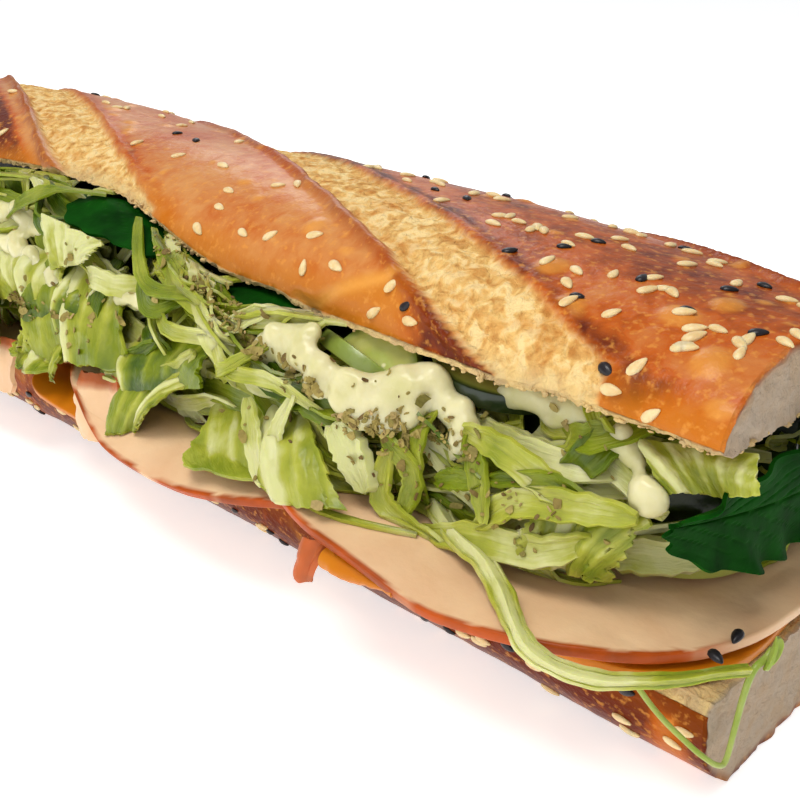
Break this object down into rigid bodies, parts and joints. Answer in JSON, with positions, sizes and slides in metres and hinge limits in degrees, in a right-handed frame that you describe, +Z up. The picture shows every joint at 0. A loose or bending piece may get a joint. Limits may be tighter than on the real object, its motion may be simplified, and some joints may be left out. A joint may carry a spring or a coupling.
{
  "type": "turkey sandwich",
  "caption": "Turkey sandwich on a seeded, slashed baguette, cut square at both ends, with cheese, sliced turkey, cucumber, shredded lettuce, dark leaves and mayonnaise.",
  "frame": {"origin": "on the bottom bread's flat base, midway between its two cut ends and under the middle of the top bread", "axes": "+X along the loaf, the open front faces -Y, +Z up"},
  "size_m": [0.2321, 0.0805, 0.0637],
  "materials": {
    "crust": "baked crust, satin golden brown, pale where slashed",
    "cheese": "orange-yellow sliced cheese, satin",
    "turkey": "cooked turkey breast slice with a browned rim, moist satin",
    "cucumber": "pale green cut cucumber with dark skin, moist",
    "dark_leaf": "dark green leaf, satin",
    "lettuce": "shredded iceberg lettuce with mayonnaise and dried herbs, moist",
    "sprout": "thin green sprout stem"
  },
  "bodies": {
    "root": {"bread_bottom": "crust", "bread_top": "crust", "cheese_left": "cheese", "cheese_middle": "cheese", "cheese_right": "cheese", "turkey_left": "turkey", "turkey_middle": "turkey", "turkey_right": "turkey", "cucumber_1": "cucumber", "cucumber_2": "cucumber", "cucumber_3": "cucumber", "cucumber_4": "cucumber", "cucumber_5": "cucumber", "dark_leaf_1": "dark_leaf", "dark_leaf_2": "dark_leaf", "dark_leaf_3": "dark_leaf", "dark_leaf_4": "dark_leaf", "dark_leaf_5": "dark_leaf", "lettuce": "lettuce", "lettuce_shred": "lettuce", "sprout": "sprout"}
  },
  "joints": []
}
